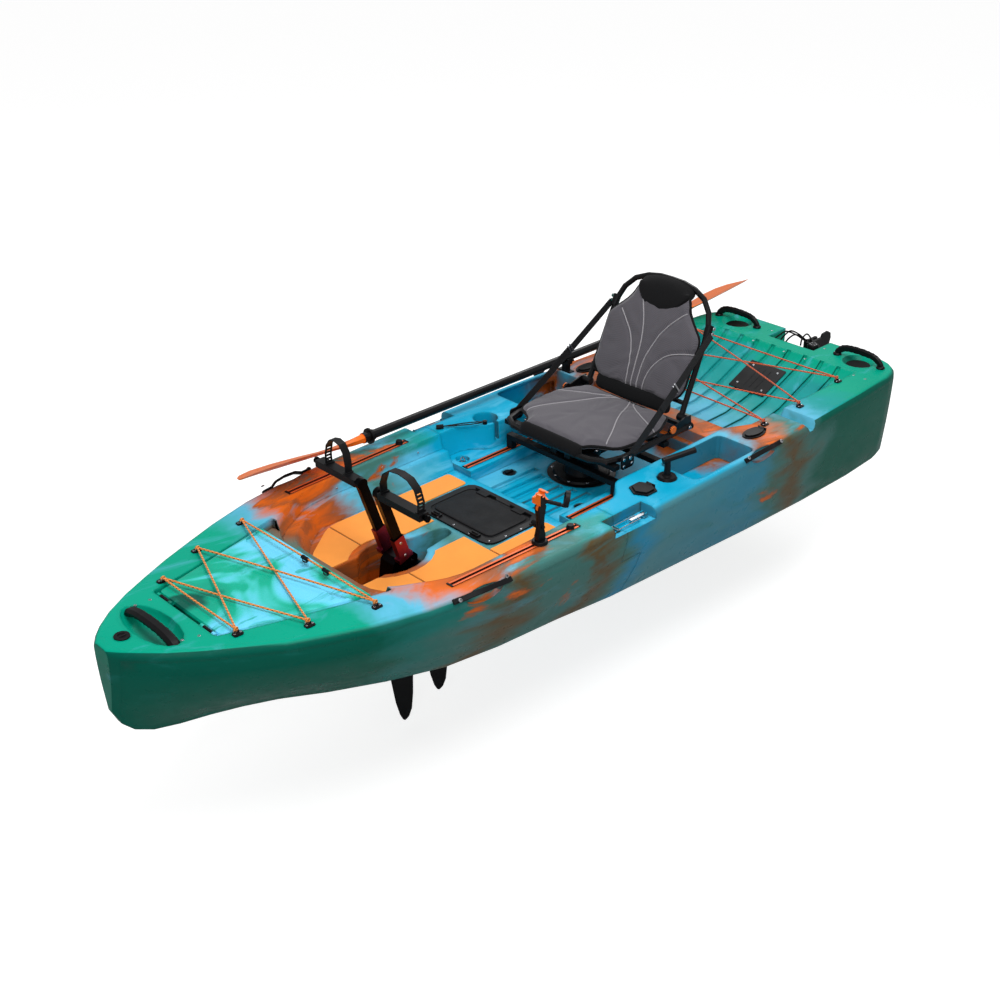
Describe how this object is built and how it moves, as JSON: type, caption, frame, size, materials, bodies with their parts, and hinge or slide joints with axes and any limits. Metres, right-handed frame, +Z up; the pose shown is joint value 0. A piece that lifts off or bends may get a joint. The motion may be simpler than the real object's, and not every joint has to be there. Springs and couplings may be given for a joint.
{
  "type": "sit-on-top fishing kayak",
  "caption": "Long sit-on-top fishing kayak in joined modules, with a swivel mesh chair, fin pedal drive, hatches, gear rails, rudder and a clipped paddle.",
  "frame": {"origin": "on the keel's flat underside, on the centreline, at the middle of the hull's length", "axes": "+X to the bow, +Y to port, +Z up"},
  "size_m": [3.251, 1.0066, 1.1949],
  "materials": {
    "hull_front": "rotomoulded, satin",
    "hull_rear": "rotomoulded, satin",
    "deck_pads": "closed-cell foam",
    "hatch_cover": "rotomoulded, satin",
    "black_parts": "moulded, satin",
    "hatch_lid": "grained",
    "bungee": "braided sheath",
    "rails": "anodised",
    "lever": "polished",
    "seat_tube": "powder coated",
    "seat_fabric": "mesh",
    "strap": "webbing",
    "cradle": "moulded",
    "drive": "anodised",
    "crank": "anodised",
    "paddle_shaft": "composite tube",
    "paddle_blade": "moulded"
  },
  "bodies": {
    "hull": {"front_hull": "hull_front", "rear_hull": "hull_rear", "deck_pad_port": "deck_pads", "deck_pad_starboard": "deck_pads", "bow_handle": "black_parts", "side_handle_front_port": "black_parts", "side_handle_front_starboard": "black_parts", "side_handle_rear_port": "black_parts", "side_handle_rear_starboard": "black_parts", "stern_handle_port": "black_parts", "stern_handle_starboard": "black_parts", "bow_bungee": "bungee", "stern_bungee": "bungee", "gear_rail_port": "rails", "gear_rail_starboard": "rails", "seat_rail_port": "rails", "seat_rail_starboard": "rails", "centre_hatch_frame": "black_parts", "seat_stand": "black_parts", "rod_holder_port": "black_parts", "rod_holder_starboard": "black_parts", "paddle_clip": "black_parts", "drive_housing": "drive", "rudder_bracket": "black_parts", "cup_loop": "black_parts"},
    "bow_hatch": {"bow_hatch_cover": "hatch_cover"},
    "centre_lid": {"centre_hatch_lid": "hatch_lid"},
    "hatch_slide_port": {"hatch_latch_port": "black_parts"},
    "hatch_slide_starboard": {"hatch_latch_starboard": "black_parts"},
    "drain": {"drain_plug": "black_parts"},
    "lever_port": {"latch_lever_port": "lever"},
    "lever_starboard": {"latch_lever_starboard": "lever"},
    "knob_port": {"rail_knob_port": "black_parts"},
    "knob_starboard": {"rail_knob_starboard": "black_parts"},
    "seat": {"seat_swivel": "black_parts", "seat_base_frame": "seat_tube", "seat_cushion": "seat_fabric", "seat_strap_port": "strap", "seat_strap_starboard": "strap"},
    "seat_back": {"seat_back_frame": "seat_tube", "seat_back_panel": "seat_fabric"},
    "rod_slide": {"rod_mount_base": "black_parts"},
    "rod_arm": {"rod_mount_arm": "black_parts"},
    "rod_knob": {"rod_mount_knob": "black_parts"},
    "rod_cradle": {"rod_cradle": "cradle"},
    "cap_port": {"rod_holder_cap_port": "black_parts"},
    "cap_starboard": {"rod_holder_cap_starboard": "black_parts"},
    "hex_cap": {"hex_cap": "black_parts"},
    "tiller": {"tiller_handle": "black_parts"},
    "rudder_head": {"rudder_head": "black_parts"},
    "rudder_blade": {"rudder_blade": "black_parts"},
    "paddle": {"paddle_shaft": "paddle_shaft", "paddle_blade_front": "paddle_blade", "paddle_blade_rear": "paddle_blade"},
    "crank_port": {"crank_port": "crank"},
    "crank_starboard": {"crank_starboard": "crank"},
    "pedal_port": {"foot_pedal_port": "black_parts"},
    "pedal_starboard": {"foot_pedal_starboard": "black_parts"},
    "fin_front": {"fin_front": "black_parts"},
    "fin_rear": {"fin_rear": "black_parts"}
  },
  "joints": [
    {"name": "bow_hatch_hinge", "type": "hinge", "parent": "hull", "child": "bow_hatch", "pos_m": [1.29, 0, 0.35854], "axis": [0, 1, 0], "range_deg": [0, 95], "deforming": ["bow_bungee"]},
    {"name": "centre_lid_hinge", "type": "hinge", "parent": "hull", "child": "centre_lid", "pos_m": [0.113, 0, 0.2496], "axis": [0, -1, 0], "range_deg": [0, 110]},
    {"name": "hatch_latch_port_travel", "type": "slide", "parent": "hull", "child": "hatch_slide_port", "axis": [-1, 0, 0], "range_m": [0, 0.0065]},
    {"name": "hatch_latch_starboard_travel", "type": "slide", "parent": "hull", "child": "hatch_slide_starboard", "axis": [-1, 0, 0], "range_m": [0, 0.0065]},
    {"name": "drain_plug_turn", "type": "hinge", "parent": "hull", "child": "drain", "pos_m": [1.481, 0, 0.35], "axis": [0, 0, 1], "continuous": true},
    {"name": "latch_lever_port_hinge", "type": "hinge", "parent": "hull", "child": "lever_port", "pos_m": [-0.042, 0.455, 0.327], "axis": [0, -1, 0], "range_deg": [0, 100]},
    {"name": "latch_lever_starboard_hinge", "type": "hinge", "parent": "hull", "child": "lever_starboard", "pos_m": [-0.042, -0.455, 0.327], "axis": [0, -1, 0], "range_deg": [0, 100]},
    {"name": "rail_knob_port_turn", "type": "hinge", "parent": "hull", "child": "knob_port", "pos_m": [0.214, 0.3881, 0.355], "axis": [0, 0, 1], "continuous": true},
    {"name": "rail_knob_starboard_turn", "type": "hinge", "parent": "hull", "child": "knob_starboard", "pos_m": [0.214, -0.3881, 0.355], "axis": [0, 0, 1], "continuous": true},
    {"name": "seat_turn", "type": "hinge", "parent": "hull", "child": "seat", "pos_m": [-0.257, 0, 0.34], "axis": [0, 0, 1], "continuous": true},
    {"name": "seat_back_fold", "type": "hinge", "parent": "seat", "child": "seat_back", "pos_m": [-0.512, 0, 0.412], "axis": [0, 1, 0], "range_deg": [0, 56], "deforming": ["seat_strap_port", "seat_strap_starboard"]},
    {"name": "rod_mount_travel", "type": "slide", "parent": "hull", "child": "rod_slide", "axis": [0.9994, -0.0347, 0], "range_m": [-0.08, 0.3]},
    {"name": "rod_arm_swivel", "type": "hinge", "parent": "rod_slide", "child": "rod_arm", "pos_m": [0.338, 0.3838, 0.37], "axis": [0, 0, 1], "continuous": true},
    {"name": "rod_knob_turn", "type": "hinge", "parent": "rod_arm", "child": "rod_knob", "pos_m": [0.338, 0.3838, 0.4073], "axis": [0, 1, 0], "range_deg": [0, 180]},
    {"name": "rod_cradle_tilt", "type": "hinge", "parent": "rod_arm", "child": "rod_cradle", "pos_m": [0.338, 0.3838, 0.4686], "axis": [0, 1, 0], "range_deg": [-45, 45]},
    {"name": "rod_holder_cap_port_hinge", "type": "hinge", "parent": "hull", "child": "cap_port", "pos_m": [-0.735, 0.385, 0.3586], "axis": [0, -1, 0], "range_deg": [0, 120]},
    {"name": "rod_holder_cap_starboard_hinge", "type": "hinge", "parent": "hull", "child": "cap_starboard", "pos_m": [-0.735, -0.385, 0.3586], "axis": [0, -1, 0], "range_deg": [0, 120]},
    {"name": "hex_cap_hinge", "type": "hinge", "parent": "hull", "child": "hex_cap", "pos_m": [-0.159, 0.381, 0.3586], "axis": [0, -1, 0], "range_deg": [0, 120]},
    {"name": "tiller_turn", "type": "hinge", "parent": "hull", "child": "tiller", "pos_m": [-0.238, 0.381, 0.37], "axis": [0, 0, 1], "range_deg": [-25, 25]},
    {"name": "rudder_turn", "type": "hinge", "parent": "hull", "child": "rudder_head", "pos_m": [-1.562, 0, 0.29], "axis": [0, 0, 1], "range_deg": [-36, 36]},
    {"name": "rudder_blade_flip", "type": "hinge", "parent": "rudder_head", "child": "rudder_blade", "pos_m": [-1.606, 0, 0.2936], "axis": [0, -1, 0], "range_deg": [0, 90]},
    {"name": "paddle_lift", "type": "slide", "parent": "hull", "child": "paddle", "axis": [0, 0, 1], "range_m": [0, 0.1]},
    {"name": "crank_port_swing", "type": "hinge", "parent": "hull", "child": "crank_port", "pos_m": [0.552, 0.041, 0.205], "axis": [0, 1, 0], "range_deg": [-25, 25]},
    {"name": "crank_starboard_swing", "type": "hinge", "parent": "hull", "child": "crank_starboard", "pos_m": [0.552, -0.041, 0.205], "axis": [0, 1, 0], "range_deg": [-25, 25]},
    {"name": "foot_pedal_port_turn", "type": "hinge", "parent": "crank_port", "child": "pedal_port", "pos_m": [0.65036, 0.143, 0.49898], "axis": [0, 1, 0], "range_deg": [-40, 40]},
    {"name": "foot_pedal_starboard_turn", "type": "hinge", "parent": "crank_starboard", "child": "pedal_starboard", "pos_m": [0.65036, -0.143, 0.49898], "axis": [0, 1, 0], "range_deg": [-40, 40]},
    {"name": "fin_front_swing", "type": "hinge", "parent": "hull", "child": "fin_front", "pos_m": [0.594, 0, 0.004], "axis": [1, 0, 0], "range_deg": [-60, 60]},
    {"name": "fin_rear_swing", "type": "hinge", "parent": "hull", "child": "fin_rear", "pos_m": [0.445, 0, 0.004], "axis": [1, 0, 0], "range_deg": [-60, 60]}
  ],
  "couplings": [
    {"joint": "crank_starboard_swing", "follows": "crank_port_swing", "ratio": -1},
    {"joint": "fin_front_swing", "follows": "crank_port_swing", "ratio": 2.4},
    {"joint": "fin_rear_swing", "follows": "crank_port_swing", "ratio": -2.4},
    {"joint": "rudder_turn", "follows": "tiller_turn", "ratio": 1.4}
  ]
}
